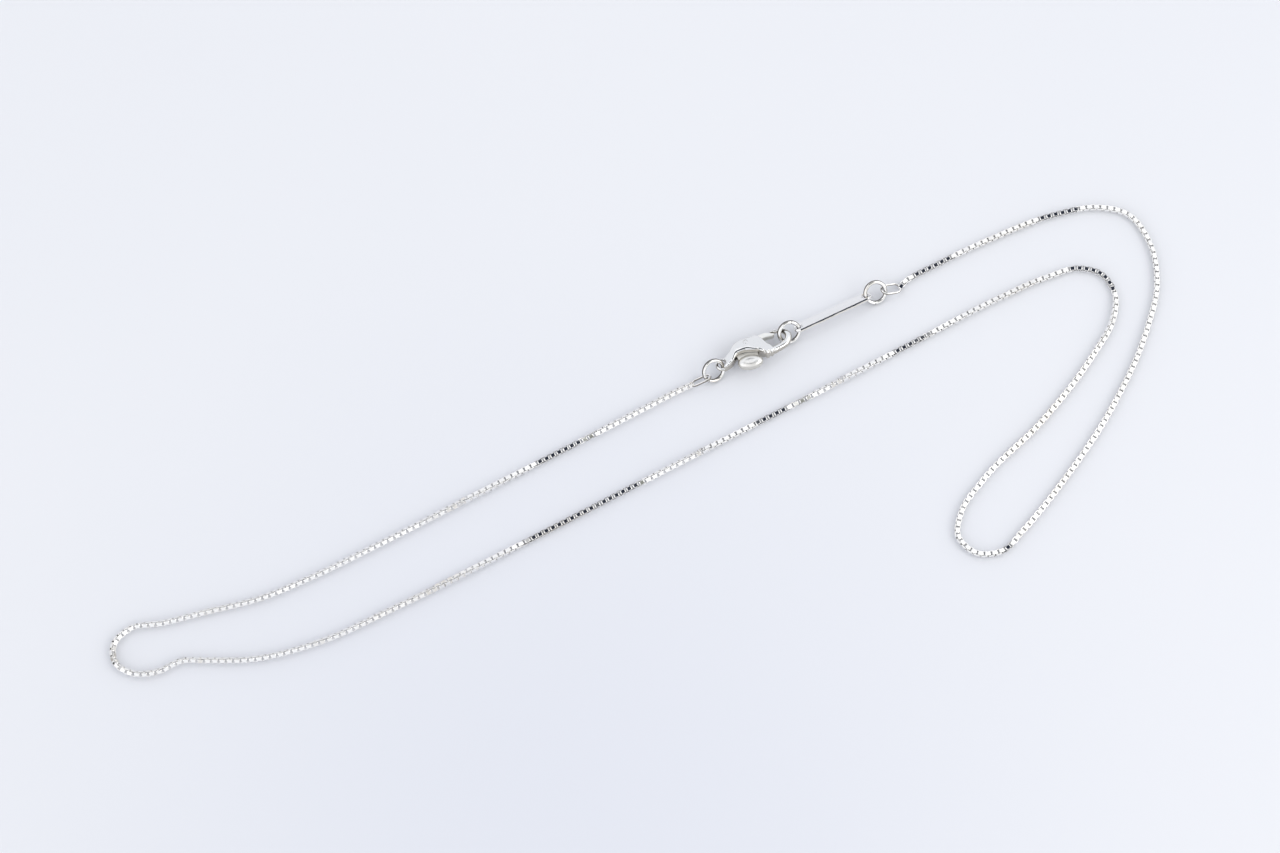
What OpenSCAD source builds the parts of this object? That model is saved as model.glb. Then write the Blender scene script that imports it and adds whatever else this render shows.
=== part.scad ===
// Silver box-chain necklace, lying clasped on a table in a folded loop.
// The chain's links are too fine and too many for loose solids, so one tube
// holds their space; the rings, the clasp and the tag are the real pieces.

/* [Chain] */
// Width of the chain's round envelope, across the corners of its square links
chain_d = 0.8; // [0.7:0.05:0.9]

/* [Rings] */
// Outer diameter of the three jump rings
ring_od = 3.34; // [3.3:0.02:3.38]
// Wire diameter of the jump rings
ring_wire = 0.52; // [0.44:0.02:0.54]
// Outer length of the oval loops at the chain's ends
loop_l = 2.95; // [2.9:0.05:3]
// Outer width of the oval loops
loop_w = 1.7; // [1.6:0.05:1.8]
// Wire diameter of the oval loops
loop_wire = 0.3; // [0.24:0.02:0.34]

/* [Clasp] */
// Thickness of the clasp's body over its two cheeks
clasp_t = 2.5; // [2.4:0.05:2.6]
// Width of the slot that the lever swings in
slot_w = 1.16; // [1.1:0.02:1.2]
// Thickness of the lever where it swings in the slot
lever_t = 0.88; // [0.8:0.02:0.92]
// Diameter of the lever's hinge pin
pin_d = 0.6; // [0.5:0.05:0.7]
// Diameter of the round thumb nub on the lever
nub_d = 1.44; // [1.3:0.02:1.46]
// Radius of the tail eyelet, to the middle of its wall
eyelet_r = 0.74; // [0.72:0.01:0.76]
// Diameter of the tail eyelet's round wall
eyelet_wall = 0.42; // [0.36:0.02:0.44]

/* [Tag] */
// Width of the tag plate
tag_w = 1.9; // [1.7:0.05:2]
// Thickness of the tag plate
tag_t = 0.45; // [0.35:0.05:0.5]
// Diameter of the hole at each end of the tag plate
tag_hole = 0.95; // [0.9:0.05:1]

/* [Hidden] */

// Running clearance of the hinge pin in the lever, on the radius
pin_gap = 0.04;
// Clearance of the hinge pin in the cheeks, on the radius
pin_seat = 0.01;
// Facets round a wire, and round a large circle
wire_fn = 32;
circle_fn = 64;

// Route of the chain's centre on the table: x, y, and the rings on the way to the next point
route = [
    [9.4, 18.05, 1], [3, 17.7, 1], [-9, 17, 1], [-22, 16.3, 1], [-35, 15.6, 1], [-47, 15.2, 1],
    [-53, 15.4, 1], [-60.5, 16.8, 1], [-66, 17.8, 2], [-70.2, 18.9, 2], [-72.8, 17.8, 2],
    [-73.5, 15.6, 2], [-72.2, 13.4, 2], [-69.2, 12.1, 2], [-65.8, 12.1, 2], [-62.5, 10.6, 2],
    [-57.5, 8.4, 2], [-49, 6.8, 1], [-38, 6.8, 1], [-20, 7.6, 1], [0, 8.7, 1], [20, 9.7, 1],
    [38, 10.7, 1], [52, 11.5, 1], [59, 11.4, 2], [63.2, 10.7, 2], [65.5, 8.6, 2], [65.7, 5.4, 2],
    [64, 2.6, 2], [59, -1, 1], [49, -6.2, 1], [38, -10.3, 2], [33.5, -13, 2], [31.7, -15.7, 2],
    [32.8, -18.8, 2], [36, -20, 2], [39.5, -18.7, 2], [47, -15.1, 1], [58, -8.5, 1],
    [67, -1, 2], [71.5, 4.5, 2], [73.3, 10, 2], [72.6, 14.8, 2], [69.5, 17.4, 2],
    [64, 18.9, 2], [54, 19.5, 1], [46, 19.3, 1], [40.85, 18.95, 1]
];
tube_sides = 8;
tube_r = chain_d / 2;

// Jump rings: centre on the table, the lean towards the viewer, and one ring's turn about
// the vertical; each rests on its wire
ring_r = (ring_od - ring_wire) / 2;
clasp_ring_at = [12.97, 18.24];
catch_ring_at = [24.31, 18.85];
tag_ring_at = [37.1, 19.05];
clasp_ring_turn = 9;
clasp_ring_lean = 47;
catch_ring_lean = 47;
tag_ring_lean = 40;
function ring_height(lean) = ring_r * sin(lean) + ring_wire / 2;

// Oval loops: the middle of the wire at the end in the jump ring and at the end in the chain
loop_a = (loop_l - loop_wire) / 2;
loop_b = (loop_w - loop_wire) / 2;
left_loop_in = [12.26, 17.84, 1.08];
left_loop_out = [9.68, 17.98, 0.52];
left_loop_roll = -41;
right_loop_in = [37.95, 18.98, 1.15];
right_loop_out = [40.57, 18.5, 0.46];
right_loop_roll = -12;

// Clasp: its own u runs from the tail to the hook, v across to the far side, w up
clasp_at = [13.7, 18.5, 1.36];
clasp_lean = 8;
eyelet_at = [0.66, 0];
pivot = [4.6, 1.15];
// Radii of the cheeks' bulging faces, across the clasp and along it, and the bulge's middle
lens_across = 3.8;
lens_along = 8;
lens_mid = [4.2, 0.6];
lens_reach = 12;
// How much shorter the pin is than the cheeks' thickness
pin_short = 0.2;

// Edge of the cheeks, round from the tail, with the bay for the thumb nub on the near side
cheek_edge = [
    [1.2, -0.5], [1.9, -0.2], [2.45, 0.36], [3.1, 0.7], [3.95, 0.66], [5, 0.22],
    [5.75, -0.15], [6.1, -0.85], [6.6, -1.4], [7.4, -1.4], [7.5, -0.5], [7.1, 0.1], [6.8, 0.9],
    [6.4, 1.45], [5.5, 1.6], [4.8, 1.74], [4.1, 1.8], [3.4, 1.7], [2.7, 1.32], [2, 0.8], [1.3, 0.5]
];
// Plan of the slot between the cheeks, where the lever lies and swings
slot_edge = [
    [2.3, -1.6], [5.75, -1.6], [5.85, -0.4], [6.4, -0.15], [7.9, -0.15], [7.9, 2.6],
    [3.9, 2.6], [3.75, 1.3], [2.6, 0.7]
];
// The hook: u, v, half its width and half its height, from the near cheek round to its tip
hook_path = [
    [6.4, -0.9, 0.54, 0.8], [7.1, -1.02, 0.52, 0.66], [7.9, -1.04, 0.48, 0.56],
    [8.6, -1.02, 0.47, 0.52], [9.4, -0.92, 0.47, 0.5], [10.06, -0.45, 0.46, 0.5],
    [10.3, 0.18, 0.45, 0.49], [10.08, 0.84, 0.39, 0.44], [9.4, 1.24, 0.34, 0.4],
    [8.8, 1.36, 0.26, 0.38], [8.3, 1.44, 0.16, 0.34]
];
hook_sides = 16;
hook_steps = 3;
// The lever's gate, which shuts the mouth of the hook, and its stem down to the thumb nub
gate_edge = [
    [4.6, 1.66], [6, 1.62], [7.6, 1.58], [8.05, 1.36], [8.3, 1.14], [8.62, 0.98], [8.62, 0.72],
    [8.2, 0.66], [7.4, 0.84], [6, 0.82], [4.9, 0.66]
];
stem_edge = [[4.1, 1.2], [3.75, 0.5], [3.45, -0.4], [3.2, -1.2], [5.1, -1.7], [5.35, -0.4], [5.1, 0.9]];
nub_mid = [4.12, -1.45];
nub_len = 1.9;
nub_turn = -16;
hub_r = 0.55;

// Tag: its holes lie on the catch ring's right side and the tag ring's left side
tag_left = [catch_ring_at.x + ring_r, catch_ring_at.y, ring_height(catch_ring_lean)];
tag_right = [tag_ring_at.x - ring_r, tag_ring_at.y, ring_height(tag_ring_lean)];
tag_lean = 38;
tag_end_in = 0.2;

// A smooth curve through hand-set points: each tangent weighs the two chords by their lengths
function chord(p, i) = norm(p[i + 1] - p[i]);
function run(p, i) = (p[i + 1] - p[i]) / chord(p, i);
function tangent(p, i) =
    i == 0 ? run(p, 0)
    : i == len(p) - 1 ? run(p, i - 1)
    : (run(p, i - 1) * chord(p, i) + run(p, i) * chord(p, i - 1)) / (chord(p, i) + chord(p, i - 1));
function hermite(p, i, t) =
    (2 * t ^ 3 - 3 * t ^ 2 + 1) * p[i]
    + (t ^ 3 - 2 * t ^ 2 + t) * chord(p, i) * tangent(p, i)
    + (3 * t ^ 2 - 2 * t ^ 3) * p[i + 1]
    + (t ^ 3 - t ^ 2) * chord(p, i) * tangent(p, i + 1);
function unit(v) = v / norm(v);

// Length and direction from one end of a piece to the other
function turn_z(a, b) = atan2(b.y - a.y, b.x - a.x);
function turn_y(a, b) = -atan2(b.z - a.z, norm([b.x - a.x, b.y - a.y]));

// Places a flat piece along the line from a to b, rolled about that line
module lay_between(a, b, roll) {
    translate((a + b) / 2) rotate([0, turn_y(a, b), turn_z(a, b)]) rotate([roll, 0, 0]) children();
}

// Places the clasp's pieces from their own u, v, w
module clasp_frame() {
    translate(clasp_at) rotate([-clasp_lean, 0, 0]) children();
}

// The chain's tube: flat-bottomed sections swept along the route
module chain() {
    xy = [for (p = route) [p.x, p.y]];
    places = concat(
        [for (i = [0:len(route) - 2], k = [0:route[i].z - 1]) [i, k / route[i].z]],
        [[len(route) - 2, 1]]
    );
    mids = [for (q = places) hermite(xy, q.x, q.y)];
    last = len(mids) - 1;
    aims = [for (i = [0:last]) unit(mids[min(i + 1, last)] - mids[max(i - 1, 0)])];
    corner_r = tube_r / cos(180 / tube_sides);
    skin = [for (i = [0:last], k = [0:tube_sides - 1])
        let (a = (k + 0.5) * 360 / tube_sides, across = corner_r * cos(a))
            [mids[i].x - aims[i].y * across, mids[i].y + aims[i].x * across, tube_r + corner_r * sin(a)]];
    walls = [for (i = [0:last - 1], k = [0:tube_sides - 1])
        let (n = (k + 1) % tube_sides, s = tube_sides)
            [i * s + k, (i + 1) * s + k, (i + 1) * s + n, i * s + n]];
    start = [[for (k = [0:tube_sides - 1]) k]];
    end = [[for (k = [0:tube_sides - 1]) last * tube_sides + tube_sides - 1 - k]];
    color("gainsboro") polyhedron(skin, concat(walls, start, end), convexity = 8);
}

// One round jump ring, leaning towards the viewer and resting on the table
module jump_ring(at, lean, turn = 0) {
    translate([at.x, at.y, ring_height(lean)]) rotate([lean, 0, turn])
        rotate_extrude($fn = circle_fn) translate([ring_r, 0]) circle(d = ring_wire, $fn = wire_fn);
}

// One oval loop: two half rings and two straight wires
module oval_loop() {
    straight = loop_a - loop_b;
    for (side = [0, 180]) {
        rotate([0, 0, side]) translate([straight, 0, 0]) rotate([0, 0, -90])
            rotate_extrude(angle = 180, $fn = circle_fn) translate([loop_b, 0])
                circle(d = loop_wire, $fn = wire_fn);
        rotate([0, 0, side]) translate([-straight, loop_b, 0]) rotate([0, 90, 0])
            cylinder(h = 2 * straight, d = loop_wire, $fn = wire_fn);
    }
}

module end_loop_left() {
    color("silver") lay_between(left_loop_out, left_loop_in, left_loop_roll) oval_loop();
}

module end_loop_right() {
    color("silver") lay_between(right_loop_in, right_loop_out, right_loop_roll) oval_loop();
}

module clasp_ring() {
    color("silver") jump_ring(clasp_ring_at, clasp_ring_lean, clasp_ring_turn);
}

module catch_ring() {
    color("silver") jump_ring(catch_ring_at, catch_ring_lean);
}

module tag_ring() {
    color("silver") jump_ring(tag_ring_at, tag_ring_lean);
}

// Closed smooth outline through hand-set points
function closed_outline(p, steps) =
    let (n = len(p), loop = concat([p[n - 1]], p, [p[0], p[1]]))
        [for (i = [1:n], k = [0:steps - 1]) hermite(loop, i, k / steps)];

// The hook and its near arm: oval sections swept along a smooth curve
module hook() {
    n = len(hook_path);
    spots = concat(
        [for (i = [0:n - 2], k = [0:hook_steps - 1]) hermite(hook_path, i, k / hook_steps)],
        [hook_path[n - 1]]
    );
    last = len(spots) - 1;
    aims = [for (i = [0:last])
        let (d = spots[min(i + 1, last)] - spots[max(i - 1, 0)]) unit([d[0], d[1]])];
    skin = [for (i = [0:last], k = [0:hook_sides - 1])
        let (a = k * 360 / hook_sides, across = spots[i][2] * cos(a))
            [spots[i][0] - aims[i].y * across, spots[i][1] + aims[i].x * across, spots[i][3] * sin(a)]];
    walls = [for (i = [0:last - 1], k = [0:hook_sides - 1])
        let (m = (k + 1) % hook_sides, s = hook_sides)
            [i * s + k, (i + 1) * s + k, (i + 1) * s + m, i * s + m]];
    start = [[for (k = [0:hook_sides - 1]) k]];
    end = [[for (k = [0:hook_sides - 1]) last * hook_sides + hook_sides - 1 - k]];
    polyhedron(skin, concat(walls, start, end), convexity = 6);
}

// The two cheeks in one block, thinner towards its rim
module cheek_block() {
    intersection() {
        translate([0, 0, -clasp_t / 2]) linear_extrude(clasp_t) polygon(closed_outline(cheek_edge, 4));
        bulge_across(-1);
        bulge_across(1);
        bulge_along(-1);
        bulge_along(1);
    }
}

// Large cylinders whose common part is the cheeks' bulging top and bottom
module bulge_across(side) {
    translate([lens_mid.x, lens_mid.y, side * (lens_across - clasp_t / 2)]) rotate([0, 90, 0])
        cylinder(h = lens_reach, r = lens_across, center = true, $fn = circle_fn);
}

module bulge_along(side) {
    translate([lens_mid.x, lens_mid.y, side * (lens_along - clasp_t / 2)]) rotate([90, 0, 0])
        cylinder(h = lens_reach, r = lens_along, center = true, $fn = circle_fn);
}

module clasp_body() {
    color("silver") clasp_frame() difference() {
        union() {
            cheek_block();
            hook();
            translate([eyelet_at.x, eyelet_at.y, 0]) rotate_extrude($fn = circle_fn)
                translate([eyelet_r, 0]) circle(d = eyelet_wall, $fn = wire_fn);
        }
        translate([0, 0, -slot_w / 2]) linear_extrude(slot_w) polygon(slot_edge);
        translate([eyelet_at.x, eyelet_at.y, -clasp_t])
            cylinder(h = 2 * clasp_t, r = eyelet_r - eyelet_wall / 2, $fn = wire_fn);
        translate([pivot.x, pivot.y, -clasp_t])
            cylinder(h = 2 * clasp_t, d = pin_d + 2 * pin_seat, $fn = wire_fn);
    }
}

// The hinge pin, cut off flush with the cheeks
module clasp_pin() {
    pin_h = clasp_t - pin_short;
    color("silver") clasp_frame() translate([pivot.x, pivot.y, -pin_h / 2])
        cylinder(h = pin_h, d = pin_d, $fn = wire_fn);
}

module clasp_lever() {
    color("silver") clasp_frame() difference() {
        union() {
            translate([0, 0, -lever_t / 2]) linear_extrude(lever_t) union() {
                translate(pivot) circle(r = hub_r, $fn = circle_fn);
                polygon(gate_edge);
                polygon(stem_edge);
            }
            translate([nub_mid.x, nub_mid.y, 0]) rotate([0, 0, nub_turn]) {
                translate([-nub_len / 2, 0, 0]) rotate([0, 90, 0])
                    cylinder(h = nub_len, d = nub_d, $fn = circle_fn);
                for (side = [-1, 1])
                    translate([side * nub_len / 2, 0, 0]) sphere(d = nub_d, $fn = circle_fn);
            }
        }
        translate([pivot.x, pivot.y, -clasp_t])
            cylinder(h = 2 * clasp_t, d = pin_d + 2 * pin_gap, $fn = wire_fn);
    }
}

// The flat tag: a bar with round ends and a hole at each end
module tag_plate() {
    reach = norm(tag_right - tag_left) / 2;
    color("gainsboro") lay_between(tag_left, tag_right, -tag_lean) translate([0, 0, -tag_t / 2])
        linear_extrude(tag_t) difference() {
            union() {
                square([2 * (reach - tag_end_in), tag_w], center = true);
                for (side = [-1, 1])
                    translate([side * (reach - tag_end_in), 0]) circle(d = tag_w, $fn = circle_fn);
            }
            for (side = [-1, 1])
                translate([side * reach, 0]) circle(d = tag_hole, $fn = wire_fn);
        }
}

chain();
end_loop_left();
end_loop_right();
clasp_ring();
catch_ring();
tag_ring();
clasp_body();
clasp_pin();
clasp_lever();
tag_plate();
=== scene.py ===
import math

import bmesh
import bpy
from mathutils import Matrix, Vector


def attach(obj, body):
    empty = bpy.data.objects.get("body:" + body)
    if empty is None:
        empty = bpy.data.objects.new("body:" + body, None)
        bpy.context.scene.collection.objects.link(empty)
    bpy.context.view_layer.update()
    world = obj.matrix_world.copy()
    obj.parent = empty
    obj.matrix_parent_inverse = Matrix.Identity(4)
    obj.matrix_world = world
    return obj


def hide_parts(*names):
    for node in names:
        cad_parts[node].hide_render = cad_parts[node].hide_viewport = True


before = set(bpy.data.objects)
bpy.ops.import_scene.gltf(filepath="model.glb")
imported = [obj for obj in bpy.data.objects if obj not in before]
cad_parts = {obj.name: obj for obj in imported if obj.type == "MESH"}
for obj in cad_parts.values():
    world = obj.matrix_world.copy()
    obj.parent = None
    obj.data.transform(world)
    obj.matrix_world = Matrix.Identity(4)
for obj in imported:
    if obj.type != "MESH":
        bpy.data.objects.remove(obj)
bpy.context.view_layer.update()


# Table and light
# A sheet of smooth white paper lies on the table inside a white light tent. The
# tent is open overhead, and its lower edge lets a little of the dark room in.

# Sizes are in millimetres, as in the part's source, and MM turns them into metres
MM = 0.001
table_half = 1500
paper_dull, paper_pale = (0.82, 0.831, 0.872), (0.835, 0.844, 0.882)
# A soft patch of painted shade on the paper: its middle, reach and strength, and its colour
painted_shade_centre, painted_shade_reach, painted_shade_depth = Vector((-30, -32, 0)), 95, 0.1
painted_shade_colour = (0.12, 0.2, 0.5)
fibre_depth = 0.02
tent_white = (0.96, 0.98, 1.025)
# Soft patches of the tent: aim, full out to and gone by (degrees), colour there
tent_patches = [
    ((0.10, 0.05, 0.99), 27, 36, (1.30, 1.32, 1.34)),
    ((0.62, -0.48, 0.62), 22, 48, (1.55, 1.55, 1.53)),
    ((-0.85, -0.20, 0.50), 14, 38, (1.35, 1.36, 1.38)),
    ((0.10, -0.62, 0.78), 10, 15, (0.28, 0.29, 0.27)),
    ((0.10, 0.05, 0.99), 17.5, 21, (0.030, 0.036, 0.055)),
    ((0.55, -0.82, 0.20), 10, 15, (0.07, 0.065, 0.06)),
]
room_ahead, room_aside = (0.80, 0.79, 0.78), (0.46, 0.45, 0.44)
lamp_at, lamp_aim, lamp_wide = Vector((190, -130, 170)), Vector((70, -50, 0)), 160


# Sets a node's inputs; each takes a value or another node's socket
def feed(tree, node, inputs):
    for name, value in inputs.items():
        if isinstance(value, bpy.types.NodeSocket):
            tree.links.new(value, node.inputs[name])
        else:
            node.inputs[name].default_value = value
    return node


def add_node(tree, kind, inputs=None, **settings):
    node = tree.nodes.new(kind)
    for name, value in settings.items():
        setattr(node, name, value)
    return feed(tree, node, inputs or {})


def maths(tree, operation, *values):
    return add_node(tree, "ShaderNodeMath", dict(enumerate(values)), operation=operation).outputs[0]


# Brings a value from one range to another, evenly or with soft ends
def ramp(tree, value, low, high, to_low=0.0, to_high=1.0, soft=False):
    ends = {"Value": value, "From Min": low, "From Max": high, "To Min": to_low, "To Max": to_high}
    kind = "SMOOTHSTEP" if soft else "LINEAR"
    return add_node(tree, "ShaderNodeMapRange", ends, interpolation_type=kind).outputs["Result"]


def opaque(colour):
    return (*colour, 1.0)


def blend(tree, share, first, second):
    inputs = {"Factor": share, "A": first, "B": second}
    return add_node(tree, "ShaderNodeMix", inputs, data_type="RGBA").outputs["Result"]


def relief(tree, height, strength, depth):
    inputs = {"Height": height, "Strength": strength, "Distance": depth * MM}
    return add_node(tree, "ShaderNodeBump", inputs).outputs["Normal"]


# A new material, its node tree, and the object coordinates in it
def new_material(name):
    material = bpy.data.materials.new(name)
    material.use_nodes = True
    tree = material.node_tree
    return material, tree, add_node(tree, "ShaderNodeTexCoord").outputs["Object"]


def add_object(name, data):
    thing = bpy.data.objects.new(name, data)
    bpy.context.scene.collection.objects.link(thing)
    return thing


def mesh_from(name, verts, edges, faces):
    mesh = bpy.data.meshes.new(name)
    mesh.from_pydata(verts, edges, faces)
    return mesh


def white_paper():
    material, tree, place = new_material("white_paper")
    cloud = add_node(tree, "ShaderNodeTexNoise", {"Vector": place, "Scale": 9.0, "Detail": 2.0})
    tone = ramp(tree, cloud.outputs["Fac"], 0.3, 0.7)
    paper = blend(tree, tone, opaque(paper_dull), opaque(paper_pale))
    # Painted shade: the paper is painted a shade darker in a soft patch in front of the necklace
    shade_distance = add_node(tree, "ShaderNodeVectorMath", {0: place, 1: painted_shade_centre * MM}, operation="DISTANCE")
    near = ramp(tree, shade_distance.outputs["Value"], painted_shade_reach * MM, 0.0, 0.0, painted_shade_depth, soft=True)
    fibre = add_node(tree, "ShaderNodeTexNoise", {"Vector": place, "Scale": 2600.0})
    feed(tree, tree.nodes["Principled BSDF"], {
        "Base Color": blend(tree, near, paper, opaque(painted_shade_colour)),
        "Roughness": 0.85,
        "Specular IOR Level": 0.2,
        "Normal": relief(tree, fibre.outputs["Fac"], 0.08, fibre_depth),
    })
    return material


def lay_table():
    half = table_half * MM
    corners = [(-half, -half, 0), (half, -half, 0), (half, half, 0), (-half, half, 0)]
    mesh = mesh_from("table", corners, [], [(0, 1, 2, 3)])
    mesh.materials.append(white_paper())
    add_object("table", mesh)


def light_tent():
    world = bpy.data.worlds.new("light_tent")
    bpy.context.scene.world = world
    world.use_nodes = True
    tree = world.node_tree
    direction = add_node(tree, "ShaderNodeTexCoord").outputs["Generated"]
    light = opaque(tent_white)
    for aim, full, gone, colour in tent_patches:
        sides = {0: direction, 1: Vector(aim).normalized()}
        towards = add_node(tree, "ShaderNodeVectorMath", sides, operation="DOT_PRODUCT")
        low, high = math.cos(math.radians(gone)), math.cos(math.radians(full))
        share = ramp(tree, towards.outputs["Value"], low, high, soft=True)
        light = blend(tree, share, light, opaque(colour))
    # The room shows under the tent's edge, low down: dark at both ends of the table,
    # lighter in front of it and behind it
    apart = add_node(tree, "ShaderNodeSeparateXYZ", {0: direction})
    ends = ramp(tree, maths(tree, "ABSOLUTE", apart.outputs["X"]), 0.6, 0.85, soft=True)
    low_down = ramp(tree, apart.outputs["Z"], 0.17, 0.10, soft=True)
    room = blend(tree, ends, opaque(room_ahead), opaque(room_aside))
    feed(tree, tree.nodes["Background"], {"Color": blend(tree, low_down, light, room), "Strength": 1.0})


# A soft lamp on the right lifts that end of the sheet a little
def soft_lamp():
    lamp = bpy.data.lights.new("soft_lamp", "AREA")
    lamp.shape = "DISK"
    lamp.size = lamp_wide * MM
    lamp.energy = 0.05
    lamp.color = (1.0, 0.99, 0.97)
    thing = add_object("soft_lamp", lamp)
    thing.location = lamp_at * MM
    thing.rotation_euler = (lamp_aim - lamp_at).to_track_quat("-Z", "Y").to_euler()


lay_table()
light_tent()
soft_lamp()
bpy.context.scene.view_settings.view_transform = "Standard"


# Camera
# It looks down at the necklace from 70 degrees above the table with a long
# lens, turned 25.5 degrees to the left of the frame's Y axis.
camera_at, camera_aim = Vector((-79.8, -153.9, 516.4)), Vector((1.1, 15.8, 0.0))


def set_camera():
    lens = bpy.data.cameras.new("camera")
    lens.sensor_width = 36.0
    lens.lens = 118.1
    lens.clip_start = 0.01
    lens.clip_end = 20.0
    camera = add_object("camera", lens)
    camera.location = camera_at * MM
    camera.rotation_euler = (camera_aim - camera_at).to_track_quat("-Z", "Y").to_euler()
    bpy.context.scene.camera = camera


set_camera()


# Chain
# A fine box chain of polished 925 silver: square links bent from flat strip, every
# second one turned a quarter round, each hooked through the next. It lies as it was
# laid down, slowly twisting, so that its flat sides catch the tent differently.
chain_route = [
    (9.58, 17.98), (8.4, 17.99), (3, 17.7), (-9, 17), (-22, 16.3), (-35, 15.6), (-47, 15.2),
    (-53, 15.4), (-60.5, 16.8), (-66, 17.8), (-70.2, 18.9), (-72.8, 17.8),
    (-73.5, 15.6), (-72.2, 13.4), (-69.2, 12.1), (-65.8, 12.1), (-62.5, 10.6),
    (-57.5, 8.4), (-49, 6.8), (-38, 6.8), (-20, 7.6), (0, 8.7), (20, 9.7),
    (38, 10.7), (52, 11.5), (59, 11.4), (63.2, 10.7), (65.5, 8.6), (65.7, 5.4),
    (64, 2.6), (59, -1), (49, -6.2), (38, -10.3), (33.5, -13), (31.7, -15.7),
    (32.8, -18.8), (36, -20), (39.5, -18.7), (47, -15.1), (58, -8.5),
    (67, -1), (71.5, 4.5), (73.3, 10), (72.6, 14.8), (69.5, 17.4),
    (64, 18.9), (54, 19.5), (46, 19.3), (42.2, 19.07), (41.3, 18.9), (40.67, 18.56),
]
link_wide, link_long, link_pitch = 0.75, 0.805, 0.468
strip_wide, strip_thick = 0.5, 0.105
corner_radius, edge_radius = 0.11, 0.03
looseness = 2.5
table_gap = 0.02

# How far the chain is rolled about its own run, in degrees, by millimetres from its
# clasp end; 0 lies flat, 45 stands on an edge
chain_roll = [
    (0, -49), (6, -45), (12, -44), (14.5, -33), (17, -16), (21.5, -8), (23, 4), (25, 8), (30, 18),
    (36, 41), (44, 46), (52, 42), (60, 49), (70, 43), (80, 50), (88, 43), (96, 48), (105, 41),
    (115, 49), (124, 44), (132, 58), (138, 74), (141, 83), (142.3, 88), (143.6, 93), (148, 98),
    (152, 104), (156, 104), (158.2, 101), (159.2, 108), (160.4, 130), (163, 137), (168, 139), (170, 170),
    (176.2, 174), (177.2, 181), (178.4, 188), (181, 195), (182.5, 203), (184, 212), (188, 228),
    (192, 248), (194.5, 258), (196.3, 262), (197.1, 273), (199, 279), (200.4, 275), (201.2, 269.5),
    (202.4, 268.5), (203.4, 266), (205.2, 265), (206, 261), (212, 258), (219, 261), (222, 264),
    (223.5, 268), (225, 276), (230.5, 275),
    (232, 260), (233, 245), (236, 228), (240, 240), (244, 250), (249, 252), (252, 252),
    (256, 250), (266, 253), (272, 256), (276, 263), (279.2, 264), (280, 275), (281, 287),
    (286, 289), (293, 285), (300, 289), (310, 287), (318, 284), (325, 281), (330, 279),
    (336, 277), (340.6, 275), (341.6, 262), (345.2, 262), (346.2, 274), (350, 278), (357, 279),
    (358.6, 277), (359.4, 263), (364.3, 262), (365.3, 272), (366.3, 272), (367.2, 262), (368, 260),
]


# A node group with named sockets, and its input and output nodes
def new_group(name, kind, inputs, outputs):
    tree = bpy.data.node_groups.new(name, kind)
    for side, sockets in (("INPUT", inputs), ("OUTPUT", outputs)):
        for label, sort, value in sockets:
            made = tree.interface.new_socket(name=label, in_out=side, socket_type="NodeSocket" + sort)
            if value is not None:
                made.default_value = value
    return tree, tree.nodes.new("NodeGroupInput"), tree.nodes.new("NodeGroupOutput")


# Handling leaves hair-fine scratches, in three directions over one another
def scratch_group():
    tree, start, end = new_group("hair scratches", "ShaderNodeTree", [
        ("Vector", "Vector", None), ("Scratch scale", "Float", 900.0), ("Stretch", "Float", 14.0),
    ], [("Height", "Float", None), ("Mask", "Float", None)])
    scale = start.outputs["Scratch scale"]
    across = maths(tree, "MULTIPLY", scale, start.outputs["Stretch"])
    stretch = add_node(tree, "ShaderNodeCombineXYZ", {"X": scale, "Y": across, "Z": scale})
    most = None
    for turn, seed in ((0.35, 0.0), (1.5, 4.0), (2.45, 9.0)):
        spin = add_node(tree, "ShaderNodeVectorRotate", {
            "Vector": start.outputs["Vector"], "Axis": (0.2, 0.1, 1.0), "Angle": turn,
        }, rotation_type="AXIS_ANGLE")
        drawn = {0: spin.outputs[0], 1: stretch.outputs[0]}
        drawn = add_node(tree, "ShaderNodeVectorMath", drawn, operation="MULTIPLY")
        noise = add_node(tree, "ShaderNodeTexNoise", {
            "Vector": drawn.outputs[0], "W": seed, "Scale": 1.0, "Detail": 1.0,
        }, noise_dimensions="4D")
        line = ramp(tree, noise.outputs["Fac"], 0.62, 0.72)
        most = line if most is None else maths(tree, "MAXIMUM", most, line)
    feed(tree, end, {"Height": maths(tree, "SUBTRACT", 1.0, most), "Mask": most})
    return tree


# A thin yellow-brown bloom of tarnish starts where the polishing cloth misses
def tarnish_group():
    tree, start, end = new_group("tarnish bloom", "ShaderNodeTree", [
        ("Vector", "Vector", None), ("Patch scale", "Float", 220.0),
        ("Clean silver", "Color", (0.94, 0.932, 0.918, 1.0)), ("Bloom", "Color", (0.87, 0.84, 0.79, 1.0)),
    ], [("Color", "Color", None), ("Mask", "Float", None)])
    noise = add_node(tree, "ShaderNodeTexNoise", {
        "Vector": start.outputs["Vector"], "Scale": start.outputs["Patch scale"], "Detail": 3.0,
    })
    patch = ramp(tree, noise.outputs["Fac"], 0.5, 0.75, soft=True)
    metal = blend(tree, patch, start.outputs["Clean silver"], start.outputs["Bloom"])
    feed(tree, end, {"Color": metal, "Mask": patch})
    return tree


hair_scratches = scratch_group()
tarnish_bloom = tarnish_group()
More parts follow.
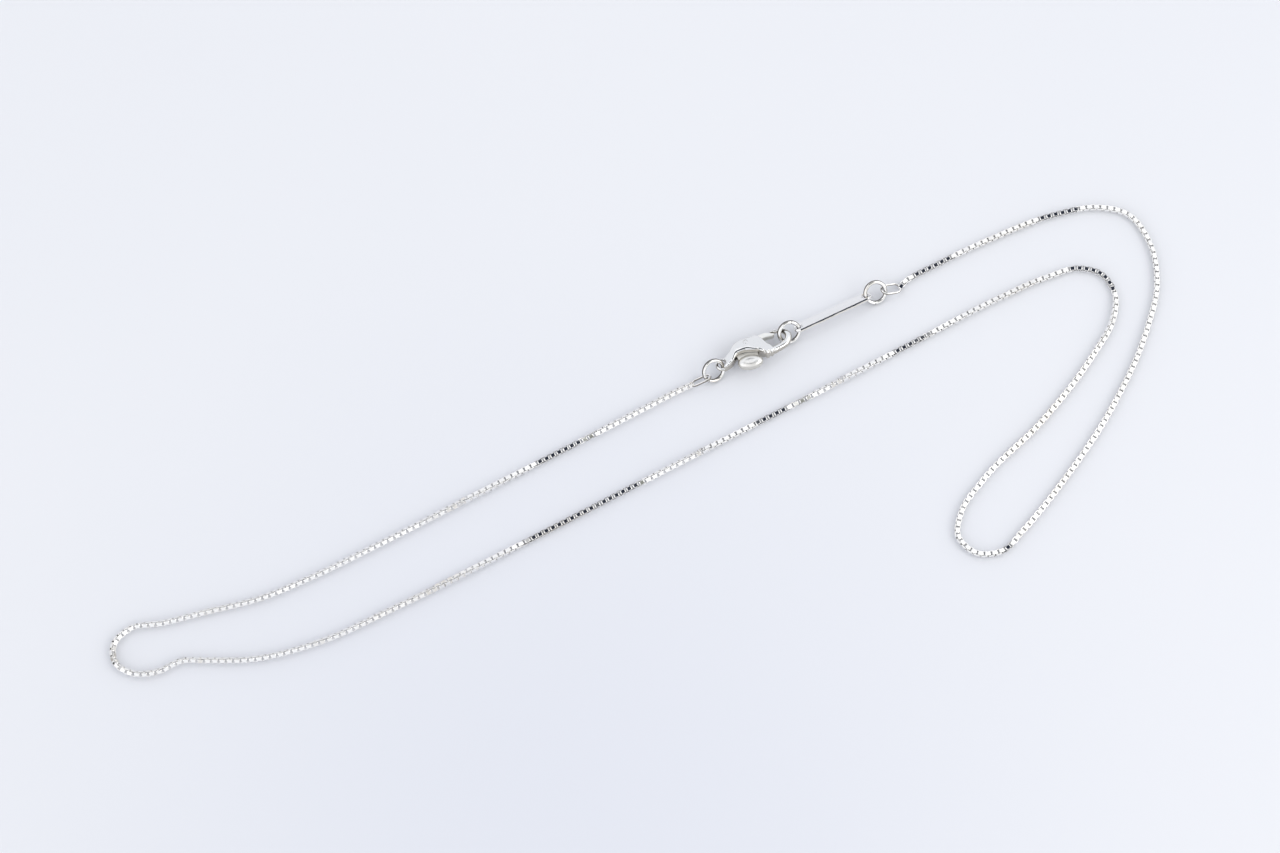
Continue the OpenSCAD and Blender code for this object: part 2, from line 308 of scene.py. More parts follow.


# Silver of one piece: size and depth of its scratches, roughness between and on them,
# size of its tarnish, its clean colour, and the colour of the painted shade on its sides
def silver(name, scratch_scale, scratch_depth, smooth, worn, patch_scale,
           clean=(0.94, 0.932, 0.918), painted_side_shade=None):
    material, tree, place = new_material(name)
    bloom = add_node(tree, "ShaderNodeGroup", node_tree=tarnish_bloom)
    feed(tree, bloom, {"Vector": place, "Patch scale": patch_scale, "Clean silver": opaque(clean)})
    colour = bloom.outputs["Color"]
    # Painted shade: the piece's sides are painted in the darker colour given here
    if painted_side_shade:
        low = add_node(tree, "ShaderNodeAttribute", attribute_name="painted_side_shade").outputs["Fac"]
        colour = blend(tree, low, colour, opaque(painted_side_shade))
    scratches = add_node(tree, "ShaderNodeGroup", node_tree=hair_scratches)
    feed(tree, scratches, {"Vector": place, "Scratch scale": scratch_scale})
    feed(tree, tree.nodes["Principled BSDF"], {
        "Base Color": colour,
        "Metallic": 1.0,
        "Roughness": ramp(tree, scratches.outputs["Mask"], 0.0, 1.0, smooth, worn),
        "Normal": relief(tree, scratches.outputs["Height"], 0.5, scratch_depth),
    })
    return material


# A smooth curve through points, with the same number of steps between each two
def smooth_run(points, steps):
    chords = [(b - a) for a, b in zip(points, points[1:])]
    spans = [c.length for c in chords]
    runs = [c / s for c, s in zip(chords, spans)]
    aims = [runs[0]]
    for i in range(1, len(points) - 1):
        aims.append((runs[i - 1] * spans[i] + runs[i] * spans[i - 1]) / (spans[i - 1] + spans[i]))
    aims.append(runs[-1])
    line = []
    for i, (a, b) in enumerate(zip(points, points[1:])):
        for k in range(steps):
            t = k / steps
            line.append(
                a * (2 * t**3 - 3 * t**2 + 1) + aims[i] * spans[i] * (t**3 - 2 * t**2 + t)
                + b * (3 * t**2 - 2 * t**3) + aims[i + 1] * spans[i] * (t**3 - t**2)
            )
    return line + [points[-1]]


# How far along a line each of its points lies
def at_length(points, close=False):
    gone = [0.0]
    for a, b in zip(points, points[1:] + ([points[0]] if close else [])):
        gone.append(gone[-1] + (b - a).length)
    return gone


# Reads a table of (place, value) rows, easing from each row to the next
def between(table, place):
    for (a, low), (b, high) in zip(table, table[1:]):
        if place <= b:
            t = max(0.0, (place - a) / (b - a))
            return low + (high - low) * t * t * (3 - 2 * t)
    return table[-1][1]


# The plain mesh that an object's modifiers or curve make
def made_mesh(thing):
    bpy.context.view_layer.update()
    return bpy.data.meshes.new_from_object(thing.evaluated_get(bpy.context.evaluated_depsgraph_get()))


def chain_tree():
    tree, start, end = new_group("box chain", "GeometryNodeTree", [
        ("Route", "Geometry", None), ("Metal", "Material", None),
        ("Link width", "Float", link_wide), ("Link length", "Float", link_long),
        ("Strip width", "Float", strip_wide), ("Strip thickness", "Float", strip_thick),
        ("Pitch", "Float", link_pitch), ("Corner radius", "Float", corner_radius),
        ("Edge radius", "Float", edge_radius), ("Looseness", "Float", looseness),
    ], [("Chain", "Geometry", None)])
    tree.is_modifier = True
    given = start.outputs

    # One link: a strip with eased edges bent round a square with rounded corners
    square = add_node(tree, "GeometryNodeCurvePrimitiveQuadrilateral", {
        "Width": maths(tree, "SUBTRACT", given["Link length"], given["Strip thickness"]),
        "Height": maths(tree, "SUBTRACT", given["Link width"], given["Strip thickness"]),
    })
    bend = add_node(tree, "GeometryNodeFilletCurve", mode="POLY")
    feed(tree, bend, {"Curve": square.outputs[0], "Radius": given["Corner radius"], "Count": 2})
    flat = add_node(tree, "GeometryNodeSetCurveNormal", {"Curve": bend.outputs[0]}, mode="Z_UP")
    strip = add_node(tree, "GeometryNodeCurvePrimitiveQuadrilateral", {
        "Width": given["Strip thickness"], "Height": given["Strip width"],
    })
    ease = add_node(tree, "GeometryNodeFilletCurve", mode="POLY")
    feed(tree, ease, {"Curve": strip.outputs[0], "Radius": given["Edge radius"], "Count": 1})
    ring = add_node(tree, "GeometryNodeCurveToMesh", {
        "Curve": flat.outputs[0], "Profile Curve": ease.outputs[0],
    })

    # The bent corners shade smoothly, the flat sides stay flat like mirrors
    normal = add_node(tree, "GeometryNodeInputNormal").outputs[0]
    facing = add_node(tree, "ShaderNodeVectorMath", {0: normal}, operation="ABSOLUTE")
    apart = add_node(tree, "ShaderNodeSeparateXYZ", {0: facing.outputs[0]})
    most = maths(tree, "MAXIMUM", apart.outputs["X"], apart.outputs["Y"])
    most = maths(tree, "MAXIMUM", most, apart.outputs["Z"])
    link = add_node(tree, "GeometryNodeSetShadeSmooth", {
        "Geometry": ring.outputs[0], "Shade Smooth": maths(tree, "LESS_THAN", most, 0.999),
    })

    # Places for the links, evenly spaced along the route and rolled with it
    run = add_node(tree, "GeometryNodeMeshToCurve", {"Mesh": given["Route"]})
    upright = add_node(tree, "GeometryNodeSetCurveNormal", {"Curve": run.outputs[0]}, mode="Z_UP")
    roll = add_node(tree, "GeometryNodeInputNamedAttribute", {"Name": "roll"})
    rolled = add_node(tree, "GeometryNodeSetCurveTilt", {
        "Curve": upright.outputs[0], "Tilt": roll.outputs[0],
    })
    length = add_node(tree, "GeometryNodeCurveLength", {"Curve": rolled.outputs[0]})
    pitches = maths(tree, "ROUND", maths(tree, "DIVIDE", length.outputs[0], given["Pitch"]))
    places = add_node(tree, "GeometryNodeCurveToPoints", mode="COUNT")
    feed(tree, places, {"Curve": rolled.outputs[0], "Count": maths(tree, "ADD", pitches, 1)})
    aim = add_node(tree, "FunctionNodeAxesToRotation", {
        "Primary Axis": places.outputs["Tangent"], "Secondary Axis": places.outputs["Normal"],
    }, primary_axis="X", secondary_axis="Z")
    odd = maths(tree, "MODULO", add_node(tree, "GeometryNodeInputIndex").outputs[0], 2)
    quarter = add_node(tree, "FunctionNodeAxisAngleToRotation", {
        "Axis": (1, 0, 0), "Angle": maths(tree, "MULTIPLY", odd, math.pi / 2),
    })
    turned = add_node(tree, "FunctionNodeRotateRotation", {
        "Rotation": aim.outputs[0], "Rotate By": quarter.outputs[0],
    }, rotation_space="LOCAL")

    # Each link hangs a little loose in its neighbours
    wobble = add_node(tree, "FunctionNodeRandomValue", data_type="FLOAT_VECTOR")
    feed(tree, wobble, {"Min": (-1, -1, -1), "Max": (1, 1, 1), "Seed": 7})
    slack = add_node(tree, "ShaderNodeVectorMath", operation="SCALE")
    feed(tree, slack, {0: wobble.outputs[0], "Scale": maths(tree, "RADIANS", given["Looseness"])})
    loose = add_node(tree, "FunctionNodeEulerToRotation", {0: slack.outputs[0]})
    hung = add_node(tree, "FunctionNodeRotateRotation", {
        "Rotation": turned.outputs[0], "Rotate By": loose.outputs[0],
    }, rotation_space="LOCAL")
    copies = add_node(tree, "GeometryNodeInstanceOnPoints", {
        "Points": places.outputs["Points"], "Instance": link.outputs[0], "Rotation": hung.outputs[0],
    })
    real = add_node(tree, "GeometryNodeRealizeInstances", {0: copies.outputs[0]})
    dressed = add_node(tree, "GeometryNodeSetMaterial", {
        "Geometry": real.outputs[0], "Material": given["Metal"],
    })
    feed(tree, end, {"Chain": dressed.outputs[0]})
    return tree


def make_chain():
    line = smooth_run([Vector((x, y, 0)) for x, y in chain_route], 12)
    rolls = [math.radians(between(chain_roll, gone)) for gone in at_length(line)]
    for spot, roll in zip(line, rolls):
        spot.z = table_gap + link_wide / 2 * (abs(math.sin(roll)) + abs(math.cos(roll)))
    route = mesh_from("chain", line, [(i, i + 1) for i in range(len(line) - 1)], [])
    route.attributes.new("roll", "FLOAT", "POINT").data.foreach_set("value", rolls)
    piece = add_object("chain_links", route)
    maker = piece.modifiers.new("links", "NODES")
    maker.node_group = chain_tree()
    for item in maker.node_group.interface.items_tree:
        if item.in_out == "INPUT" and item.name == "Metal":
            maker[item.identifier] = silver(
                "chain_silver", scratch_scale=900.0, scratch_depth=0.002,
                smooth=0.07, worn=0.16, patch_scale=60.0,
            )
    mesh = made_mesh(piece)
    piece.modifiers.clear()
    mesh.transform(Matrix.Scale(MM, 4))
    piece.data = mesh
    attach(piece, "necklace")
    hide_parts("chain")


make_chain()


# End loops
# At each end of the chain a small oval loop of thin round silver wire, soldered
# shut, joins the last link to the hardware. It leans on its jump ring.
loop_long, loop_wide, loop_wire = 2.95, 1.7, 0.3
solder_proud, solder_share = 0.05, 0.03
# Name, its two ends, how far it is rolled (degrees), share of the way to its solder
end_loops = [
    ("end_loop_left_wire", (9.68, 17.98, 0.52), (12.26, 17.84, 1.08), -41, 0.42),
    ("end_loop_right_wire", (37.95, 18.98, 1.15), (40.57, 18.5, 0.46), -12, 0.9),
]
# How far a surface may turn from a piece's flat side before it takes the painted shade
painted_side_shade_from, painted_side_shade_fade = 0.84, 0.45


# A round wire swept along a flat line; swell(share of the way) gives its radius
def bent_wire(line, closed, swell, sides=20):
    work = bmesh.new()
    gone = at_length(line, closed)
    count = len(line)
    up = Vector((0, 0, 1))
    rings = []
    for i, spot in enumerate(line):
        before = line[i - 1] if i or closed else spot
        after = line[(i + 1) % count] if i < count - 1 or closed else spot
        out = (after - before).normalized().cross(up)
        radius = swell(gone[i] / gone[-1])
        rings.append([
            work.verts.new(spot + (out * math.cos(a) + up * math.sin(a)) * radius)
            for a in (2 * math.pi * k / sides for k in range(sides))
        ])
    for i in range(count if closed else count - 1):
        a, b = rings[i], rings[(i + 1) % count]
        for k in range(sides):
            m = (k + 1) % sides
            work.faces.new((a[k], a[m], b[m], b[k]))
    if not closed:
        work.faces.new(rings[0])
        work.faces.new(rings[-1][::-1])
    bmesh.ops.recalc_face_normals(work, faces=work.faces)
    mesh = bpy.data.meshes.new("wire")
    work.to_mesh(mesh)
    work.free()
    mesh.shade_smooth()
    return mesh


# Marks where a mesh's sides take the painted shade, gives it its place, turns millimetres to metres, and
# hands it over
def hand_over(name, mesh, place, metal, body, node):
    # Painted shade: the further a surface turns from the piece's flat side, the more of the dark side
    # colour it takes
    turned = [(painted_side_shade_from - abs(vert.normal.z)) / painted_side_shade_fade for vert in mesh.vertices]
    turned = [min(1.0, max(0.0, t)) for t in turned]
    painted_side_shade = mesh.attributes.new("painted_side_shade", "FLOAT", "POINT")
    painted_side_shade.data.foreach_set("value", [t * t * (3 - 2 * t) for t in turned])
    mesh.transform(place)
    mesh.transform(Matrix.Scale(MM, 4))
    mesh.name = name
    mesh.materials.clear()
    mesh.materials.append(metal)
    piece = add_object(name, mesh)
    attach(piece, body)
    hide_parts(node)


def turned_by(degrees, axis):
    return Matrix.Rotation(math.radians(degrees), 4, axis)


# Lays a flat piece along the line from a to b, rolled about that line
def lay_between(a, b, roll):
    a, b = Vector(a), Vector(b)
    run = b - a
    return (
        Matrix.Translation((a + b) / 2)
        @ Matrix.Rotation(math.atan2(run.y, run.x), 4, "Z")
        @ Matrix.Rotation(-math.atan2(run.z, math.hypot(run.x, run.y)), 4, "Y")
        @ turned_by(roll, "X")
    )


# Points of a half circle from -90 to 90 degrees, bulging along +X
def half_circle(radius, steps):
    angles = (math.radians(-90 + 180 * k / steps) for k in range(steps + 1))
    return [(radius * math.cos(a), radius * math.sin(a)) for a in angles]


def oval_wire(solder_at):
    bend = (loop_wide - loop_wire) / 2
    straight = (loop_long - loop_wire) / 2 - bend
    bow = half_circle(bend, 24)
    # Round one bow, along a straight side in six steps, round the other bow and back
    line = [Vector((straight + x, y, 0)) for x, y in bow]
    line += [Vector((straight * (1 - k / 3), bend, 0)) for k in range(1, 6)]
    line += [Vector((-straight - x, -y, 0)) for x, y in bow]
    line += [Vector((straight * (k / 3 - 1), -bend, 0)) for k in range(1, 6)]

    # The solder stands a little proud where the wire was closed
    def swell(share):
        off = abs((share - solder_at + 0.5) % 1 - 0.5) / solder_share
        return loop_wire / 2 * (1 + solder_proud * math.exp(-off * off))

    return bent_wire(line, True, swell)


# Its sides take a dark painted shade
wire_silver = silver(
    "wire_silver", scratch_scale=500.0, scratch_depth=0.002,
    smooth=0.06, worn=0.15, patch_scale=300.0, painted_side_shade=(0.2, 0.18, 0.155),
)
for name, start, end, roll, solder_at in end_loops:
    place = lay_between(start, end, roll)
    hand_over(name, oval_wire(solder_at), place, wire_silver,
              "necklace", name.replace("_wire", ""))


# Jump rings
# Three round rings of thicker silver wire join the clasp, the tag and the end
# loops. Each was cut from a coil and pressed shut, which leaves a fine seam.
ring_round, ring_wire = 3.34, 0.52
ring_r = (ring_round - ring_wire) / 2
seam_half = 0.018
# The cutter leaves the wire's ends rounded over: degrees along, share of the radius lost
end_ease, end_thinned = 0.8, 0.16
# Name: its middle (x, y), how it leans and is turned, and where its seam is (degrees)
jump_rings = {
    "clasp_ring": (12.97, 18.24, 47, 9, 215),
    "catch_ring": (24.31, 18.85, 47, 0, 62),
    "tag_ring": (37.1, 19.05, 40, 0, 250),
}


# A ring's middle, with one edge of the ring on the table
def ring_middle(name):
    x, y, lean = jump_rings[name][:3]
    return Vector((x, y, ring_r * math.sin(math.radians(lean)) + ring_wire / 2))


def cut_ring(seam_at):
    half_gap = math.degrees(seam_half / ring_r)
    turn = 360 - 2 * half_gap
    ends = [0, 0.25, end_ease, 1.8]
    steps = ends + [4 * k for k in range(1, 89)] + [turn - e for e in reversed(ends)]
    angles = [math.radians(seam_at + half_gap + s) for s in steps if s <= turn]
    line = [Vector((ring_r * math.cos(a), ring_r * math.sin(a), 0)) for a in angles]

    def swell(share):
        near = min(share, 1 - share) * turn
        return ring_wire / 2 * (1 - end_thinned * max(0.0, 1 - near / end_ease) ** 2)

    return bent_wire(line, False, swell, 24)


# Its sides take a near-black painted shade
ring_silver = silver(
    "ring_silver", scratch_scale=900.0, scratch_depth=0.0012,
    smooth=0.05, worn=0.12, patch_scale=260.0, painted_side_shade=(0.07, 0.06, 0.05),
)
for node, (x, y, lean, turn, seam_at) in jump_rings.items():
    place = Matrix.Translation(ring_middle(node)) @ turned_by(turn, "Z") @ turned_by(lean, "X")
    hand_over(node + "_wire", cut_ring(seam_at), place, ring_silver, "necklace", node)


# Clasp body
# A lobster clasp cast in silver and tumbled until its edges are soft: a tail
# eyelet, two bulging cheeks with a slot between them, a near arm with three
# small ridges, and a hook that curls round to meet the lever.
clasp_place = Matrix.Translation((13.7, 18.5, 1.36)) @ turned_by(-8, "X")
clasp_thick, slot_wide, mouth_wide = 2.5, 1.16, 0.86
# The clasp's own places are u from the tail to the hook, v across, and w through it
pivot, pin_bore = (4.6, 1.15), 0.308
eyelet_at, eyelet_r, eyelet_wall = (0.66, 0.0), 0.74, 0.42
cheek_edge = [
    (0.7, -0.86), (1.2, -0.82), (1.9, -0.62), (2.42, -0.2), (2.95, 0.12), (3.95, 0.04), (5, -0.38),
    (5.72, -0.7), (6.1, -1.1), (6.6, -1.55), (7.4, -1.55), (7.5, -0.5), (7.1, 0.1), (6.8, 0.9),
    (6.4, 1.45), (5.5, 1.6), (4.8, 1.74), (4.1, 1.8), (3.4, 1.7), (2.7, 1.32), (2, 0.8), (1.3, 0.5),
]
near_edge = [
    (0.7, -0.9), (1.2, -0.84), (1.9, -0.6), (2.95, 0.12),
    (3.95, 0.04), (5.72, -0.72), (6.6, -1.6), (9, -1.6),
]
slot_edge = [
    (2.5, 0.35), (5.85, 0.1), (6.4, -0.15), (7.9, -0.15),
    (7.9, 2.6), (3.9, 2.6), (3.75, 1.35), (2.6, 0.95),
]
slot_mouth = [(2.44, -1.6), (5.68, -1.6), (5.7, 0.2), (5.2, 0.7), (3.1, 0.9), (2.44, 0.6)]
# Along the hook: u, v, half its width, half its height
hook_path = [
    (6.4, -1.02, 0.56, 0.8), (7.1, -1.14, 0.55, 0.68), (7.9, -1.14, 0.51, 0.58),
    (8.6, -1.08, 0.49, 0.53), (9.4, -0.94, 0.47, 0.5), (10.06, -0.45, 0.46, 0.5),
    (10.3, 0.18, 0.45, 0.49), (10.08, 0.84, 0.39, 0.44), (9.4, 1.24, 0.34, 0.4),
    (8.8, 1.36, 0.26, 0.38), (8.3, 1.44, 0.16, 0.34),
]
# The cheeks' dome: its radius along and across, its top (u, v), and its least half thickness
dome_along, dome_across, dome_top, cheek_least = 8, 4.2, (4.2, 0.25), 0.62
shoulder_wide, shoulder_deep = 0.4, 0.16
# Grooves between the arm's ridges: u, v of the near edge there
arm_grooves = ((6.28, -1.6), (6.93, -1.69), (7.6, -1.67), (8.3, -1.6))
groove_r, slant_r, groove_sides = 0.16, 0.15, 24
# The dish in the near edge by the tail, where the opened lever's nub comes to rest
dish_at, dish_half, dish_turn = (3.54, -1.22, 0), (1.8, 1.05, 0.85), -29
# Grain of the rough casting and of the tumbled one
rough_grain, clasp_grain = 0.05, 0.036


def flat(points):
    return [Vector((*p, 0)) for p in points]


def smooth_ring(points, steps):
    points = flat(points)
    line = smooth_run([points[-1], *points, points[0], points[1]], steps)
    return line[steps:steps * (len(points) + 1)]


def slab(outline, thick):
    count = len(outline)
    verts = [(p.x, p.y, w) for w in (-thick / 2, thick / 2) for p in outline]
    faces = [list(range(count))[::-1], list(range(count, 2 * count))]
    faces += [(k, (k + 1) % count, count + (k + 1) % count, count + k) for k in range(count)]
    return mesh_from("slab", verts, [], faces)


def rod(start, end, radius, sides=48):
    start, end = Vector(start), Vector(end)
    run = end - start
    mesh = bpy.data.meshes.new("rod")
    work = bmesh.new()
    bmesh.ops.create_cone(
        work, cap_ends=True, segments=sides, radius1=radius, radius2=radius, depth=run.length,
    )
    work.to_mesh(mesh)
    work.free()
    turn = run.to_track_quat("Z", "Y").to_matrix().to_4x4()
    mesh.transform(Matrix.Translation((start + end) / 2) @ turn)
    return mesh


# A drill that goes right through the clasp
def drill(at, radius):
    return rod((*at, -2), (*at, 2), radius)


# An ellipsoid; a power below 1 flattens its top and bottom
def egg(at, half, turn, power=1.0):
    mesh = bpy.data.meshes.new("egg")
    work = bmesh.new()
    bmesh.ops.create_uvsphere(work, u_segments=48, v_segments=32, radius=1.0)
    for vert in work.verts:
        vert.co.z = math.copysign(abs(vert.co.z) ** power, vert.co.z)
    work.to_mesh(mesh)
    work.free()
    mesh.transform(Matrix.Translation(at) @ turned_by(turn, "Z") @ Matrix.Diagonal((*half, 1)))
    return mesh


def together(*meshes):
    work = bmesh.new()
    for mesh in meshes:
        work.from_mesh(mesh)
    mesh = bpy.data.meshes.new("together")
    work.to_mesh(mesh)
    work.free()
    return mesh


# Turns a mesh's faces outwards, after joining points closer than merge
def closed_up(mesh, merge=0.0):
    work = bmesh.new()
    work.from_mesh(mesh)
    if merge:
        bmesh.ops.remove_doubles(work, verts=work.verts, dist=merge)
    bmesh.ops.recalc_face_normals(work, faces=work.faces)
    work.to_mesh(mesh)
    work.free()
    return mesh


# Runs a stack of modifiers on a mesh and gives back the plain result
def worked(mesh, *steps):
    thing = add_object("work", mesh)
    tools = []
    for kind, values in steps:
        step = thing.modifiers.new(kind, kind)
        for key, value in values.items():
            if isinstance(value, bpy.types.Mesh):
                value = add_object("tool", value)
                tools.append(value)
            setattr(step, key, value)
    result = made_mesh(thing)
    for used in (thing, *tools):
        bpy.data.objects.remove(used)
    return result


def melt(size):
    return ("REMESH", {"mode": "VOXEL", "voxel_size": size, "use_smooth_shade": True})


def cut(tool):
    return ("BOOLEAN", {"operation": "DIFFERENCE", "solver": "EXACT", "object": tool})


def tumble(turns):
    return ("SMOOTH", {"factor": 0.5, "iterations": turns})


# Half the cheeks' thickness: domed, with a soft shoulder along their near edge
def cheek_bulge(u, v):
    across = dome_across - math.sqrt(max(0.0, dome_across**2 - (v - dome_top[1]) ** 2))
    along = dome_along - math.sqrt(max(0.0, dome_along**2 - (u - dome_top[0]) ** 2))
    shoulder = max(0.0, 1 - max(0.0, v - between(near_edge, u)) / shoulder_wide)
    return clasp_thick / 2 - (across**4 + along**4) ** 0.25 - shoulder_deep * shoulder**2


def cheeks():
    mesh = worked(slab(smooth_ring(cheek_edge, 10), clasp_thick), melt(rough_grain))
    for vert in mesh.vertices:
        vert.co.z *= max(cheek_least, cheek_bulge(vert.co.x, vert.co.y)) / (clasp_thick / 2)
    return mesh


def hook():
    line = smooth_run(flat(p[:2] for p in hook_path), 6)
    # The third figure only keeps rows of equal width apart, as smooth_run needs
    widths = smooth_run([Vector((p[2], p[3], 0.001 * i)) for i, p in enumerate(hook_path)], 6)
    sides, verts, faces = 32, [], []
    for i, spot in enumerate(line):
        aim = (line[min(i + 1, len(line) - 1)] - line[max(i - 1, 0)]).normalized()
        for k in range(sides):
            a = 2 * math.pi * k / sides
            across = widths[i].x * math.cos(a)
            verts.append((spot.x - aim.y * across, spot.y + aim.x * across, widths[i].y * math.sin(a)))
    last = (len(line) - 1) * sides
    for i in range(len(line) - 1):
        for k in range(sides):
            m = (k + 1) % sides
            faces.append((i * sides + k, (i + 1) * sides + k, (i + 1) * sides + m, i * sides + m))
    faces += [list(range(sides)), [last + k for k in range(sides)][::-1]]
    return closed_up(mesh_from("hook", verts, [], faces))


def eyelet():
    line = [Vector((eyelet_r * math.cos(a), eyelet_r * math.sin(a), 0))
            for a in (2 * math.pi * k / 64 for k in range(64))]
    mesh = bent_wire(line, True, lambda share: eyelet_wall / 2, 24)
    mesh.transform(Matrix.Translation((*eyelet_at, 0)))
    return mesh


# Each groove runs over the near edge and a little way onto the arm's two faces
def ridge_cuts():
    grooves = []
    for u, edge in arm_grooves:
        over_edge = rod((u, edge - 0.03, -1.2), (u, edge - 0.03, 1.2), groove_r, groove_sides)
        grooves.append(cut(over_edge))
        for side in (-1, 1):
            near = Vector((u, edge + 0.08, side * 0.5))
            run = Vector((0.02, 0.6, side * 0.6))
            grooves.append(cut(rod(near - run, near + run, slant_r, groove_sides)))
    return grooves


def clasp_casting():
    rough = together(cheeks(), hook(), eyelet())
    slot = slab(flat(slot_edge), slot_wide)
    mouth = slab(flat(slot_mouth), mouth_wide)
    dish = egg(dish_at, dish_half, dish_turn)
    hole = drill(eyelet_at, eyelet_r - eyelet_wall / 2)
    cuts = [*ridge_cuts(), cut(slot), cut(mouth), cut(dish), cut(hole)]
    seat = cut(drill(pivot, pin_bore))
    return worked(rough, melt(rough_grain), tumble(6), *cuts, melt(clasp_grain), tumble(6), seat)


# Its sides take a grey painted shade
clasp_silver = silver(
    "clasp_silver", scratch_scale=1100.0, scratch_depth=0.0012, smooth=0.06, worn=0.13,
    patch_scale=200.0, clean=(0.8, 0.803, 0.806), painted_side_shade=(0.58, 0.55, 0.5),
)
hand_over("clasp_casting", clasp_casting(), clasp_place, clasp_silver,
          "necklace", "clasp_body")


# Hinge pin
# A short silver rod through both cheeks and the lever, filed flush with them and
# polished over, so that only a hairline shows where it ends.
pin_sides, pin_sunk = 32, 0.006
# Share of the cheeks' half thickness, radius there
pin_profile = [(1, 0.0), (1, 0.15), (1, 0.3), (0.99, 0.305)]


def pin_rod():
    profile = pin_profile + [(-w, r) for w, r in reversed(pin_profile)]
    verts = []
    for w, r in profile:
        for k in range(pin_sides):
            a = 2 * math.pi * k / pin_sides
            u, v = r * math.cos(a), r * math.sin(a)
            verts.append((u, v, w * (cheek_bulge(pivot[0] + u, pivot[1] + v) - pin_sunk)))
    faces = []
    for i in range(0, pin_sides * (len(profile) - 1), pin_sides):
        for k in range(pin_sides):
            m = (k + 1) % pin_sides
            faces.append((i + k, i + m, i + pin_sides + m, i + pin_sides + k))
    mesh = closed_up(mesh_from("pin", verts, [], faces), 0.0001)
    # The ends shade smoothly, and the edge between an end and the side stays sharp
    mesh.shade_smooth()
    for face in mesh.polygons:
        face.use_smooth = abs(face.normal.z) > 0.8
    mesh.transform(Matrix.Translation((*pivot, 0)))
    return mesh


hand_over("clasp_pin_rod", pin_rod(), clasp_place, clasp_silver, "necklace", "clasp_pin")


# Clasp lever
# The gate that shuts the hook, its hub on the pin, and a shell-shaped nub for
# the thumb with a long hollow pressed into each face. Cast, and left satin.
gate_edge = [
    (4.6, 1.66), (6, 1.62), (7.6, 1.58), (8.05, 1.36), (8.3, 1.14), (8.62, 0.98), (8.62, 0.72),
    (8.2, 0.66), (7.4, 0.84), (6, 0.82), (4.9, 0.66),
]
stem_edge = [
    (4.1, 1.15), (3.4, 0.65), (2.72, 0.14), (2.82, -0.5), (3.05, -1.3), (5.2, -1.4),
    (5.67, -0.5), (5.67, 0), (5.3, 0.55), (5, 0.9),
]
lever_thick, stem_thick, hub_r, lever_bore, lever_grain = 0.88, 0.7, 0.55, 0.34, 0.034
nub_at, nub_turn = Vector((4.1, -1.4, 0)), -16
# The nub's three lobes: how far along it, half sizes, how blunt
nub_lobes = (
    (0, (1.66, 0.95, 0.76), 0.6),
    (-0.66, (1.0, 0.84, 0.72), 0.75),
    (0.62, (1.05, 0.8, 0.72), 0.75),
)
hollow_at, hollow_half, hollow_blunt = (-0.03, -0.06, 0.92), (1.08, 0.48, 0.25), 0.5


def lever_casting():
    hub = rod((*pivot, -lever_thick / 2), (*pivot, lever_thick / 2), hub_r)
    gate = slab(flat(gate_edge), lever_thick)
    stem = slab(flat(stem_edge), stem_thick)
    along = Vector((math.cos(math.radians(nub_turn)), math.sin(math.radians(nub_turn)), 0))
    nub = [egg(nub_at + along * far, half, nub_turn, power) for far, half, power in nub_lobes]
    x, y, z = hollow_at
    pressed = [nub_at + Vector((x, y, side * z)) for side in (-1, 1)]
    cuts = [cut(egg(spot, hollow_half, nub_turn, hollow_blunt)) for spot in pressed]
    cuts.append(cut(drill(pivot, lever_bore)))
    rough = together(hub, gate, stem, *nub)
    return worked(rough, melt(rough_grain), tumble(3), *cuts, melt(lever_grain), tumble(10))


# Its sides take a light painted shade
lever_silver = silver(
    "lever_silver", scratch_scale=700.0, scratch_depth=0.0012, smooth=0.36, worn=0.42,
    patch_scale=200.0, clean=(0.87, 0.868, 0.85), painted_side_shade=(0.7, 0.685, 0.635),
)
hand_over("clasp_lever_casting", lever_casting(), clasp_place, lever_silver,
          "lever", "clasp_lever")


# Tag
# A flat bar of silver with round ends and a hole at each end, left bare. It was
# cut from sheet and its edges filed off by hand, so they waver a little.
tag_wide, tag_thick, tag_hole, tag_roll = 1.9, 0.45, 0.95, -38
filed_off = 0.125
hole_inset = 0.2
side_steps, bow_steps, hole_steps = 44, 28, 40
ring_reach = Vector((ring_r, 0, 0))
tag_ends = (ring_middle("catch_ring") + ring_reach, ring_middle("tag_ring") - ring_reach)


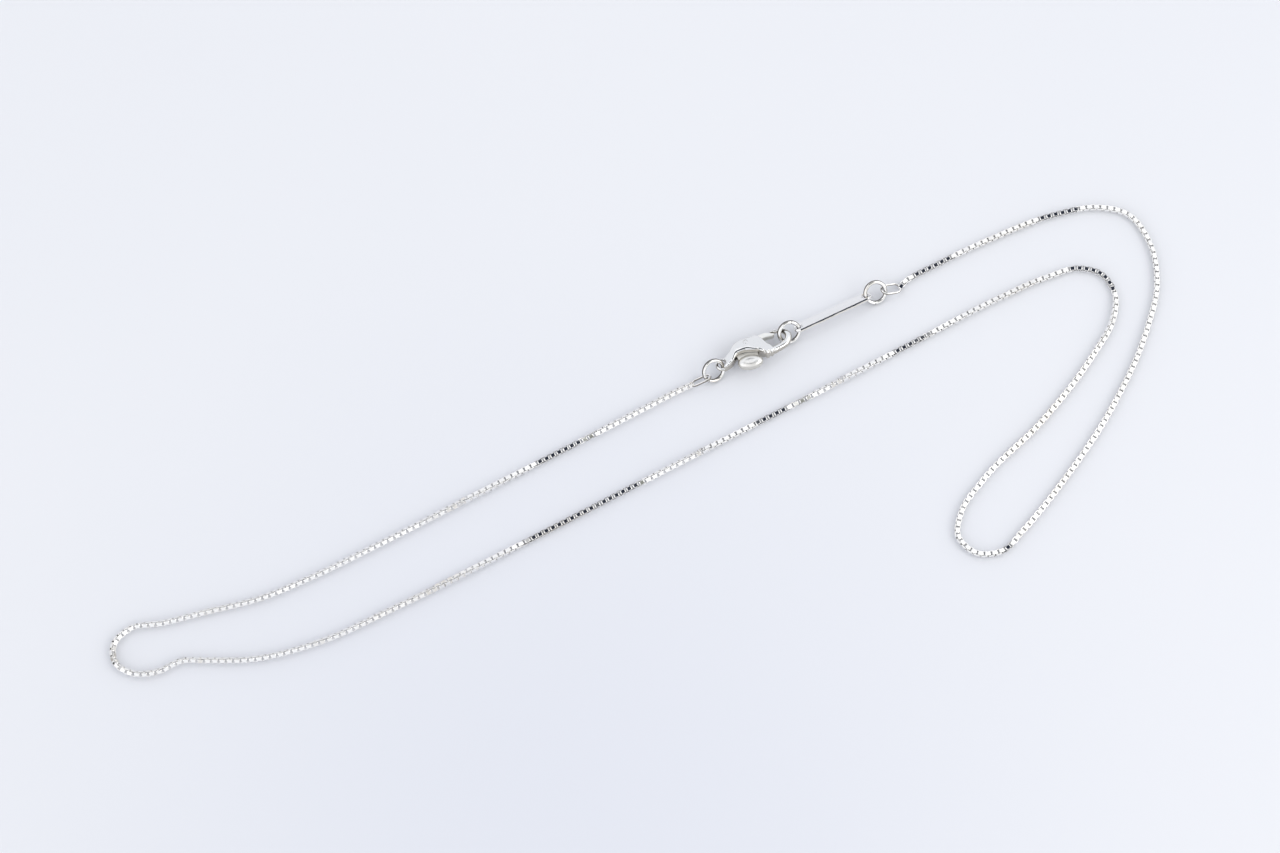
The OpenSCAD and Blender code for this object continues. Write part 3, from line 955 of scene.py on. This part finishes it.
# The file wavered along the tag's sides
def filed(x, y):
    return y + 0.012 * math.sin(2.3 * x + 0.7) + 0.009 * math.sin(5.1 * x + 2.0)


def tag_outlines():
    reach = (tag_ends[1] - tag_ends[0]).length / 2
    straight, half = reach - hole_inset, tag_wide / 2
    bow = half_circle(half, bow_steps)
    outer = [(straight + x, y) for x, y in bow]
    outer += [(straight * (1 - 2 * k / side_steps), filed(k, half)) for k in range(1, side_steps)]
    outer += [(-straight - x, -y) for x, y in bow]
    outer += [(straight * (2 * k / side_steps - 1), filed(k * 0.9, -half)) for k in range(1, side_steps)]
    holes = [[(side * reach + tag_hole / 2 * math.cos(-a), tag_hole / 2 * math.sin(-a))
              for a in (2 * math.pi * k / hole_steps for k in range(hole_steps))] for side in (-1, 1)]
    return [outer, *holes]


def tag_sheet():
    shape = bpy.data.curves.new("tag", "CURVE")
    shape.dimensions = "2D"
    shape.fill_mode = "BOTH"
    shape.extrude = tag_thick / 2 - filed_off
    shape.bevel_depth = filed_off
    shape.bevel_resolution = 0
    shape.offset = -filed_off
    for line in tag_outlines():
        spline = shape.splines.new("POLY")
        spline.points.add(len(line) - 1)
        spline.points.foreach_set("co", [c for x, y in line for c in (x, y, 0, 1)])
        spline.use_cyclic_u = True
    thing = add_object("tag", shape)
    mesh = made_mesh(thing)
    bpy.data.objects.remove(thing)
    # The file didn't keep its angle, so the sloped edge tips a little to and fro
    for vert in mesh.vertices:
        if abs(vert.co.z) < tag_thick / 2 - 0.05:
            vert.co.z += 0.02 * math.sin(1.5 * vert.co.x + 0.4) + 0.012 * math.sin(3.7 * vert.co.x)
    closed_up(mesh, 0.0005)
    # The filed edge stays crisp
    mesh.set_sharp_from_angle(angle=math.radians(25))
    return mesh


tag_silver = silver(
    "tag_silver", scratch_scale=900.0, scratch_depth=0.0012,
    smooth=0.07, worn=0.15, patch_scale=120.0, clean=(0.9, 0.893, 0.884),
)
hand_over("tag_sheet", tag_sheet(), lay_between(*tag_ends, tag_roll), tag_silver,
          "necklace", "tag_plate")
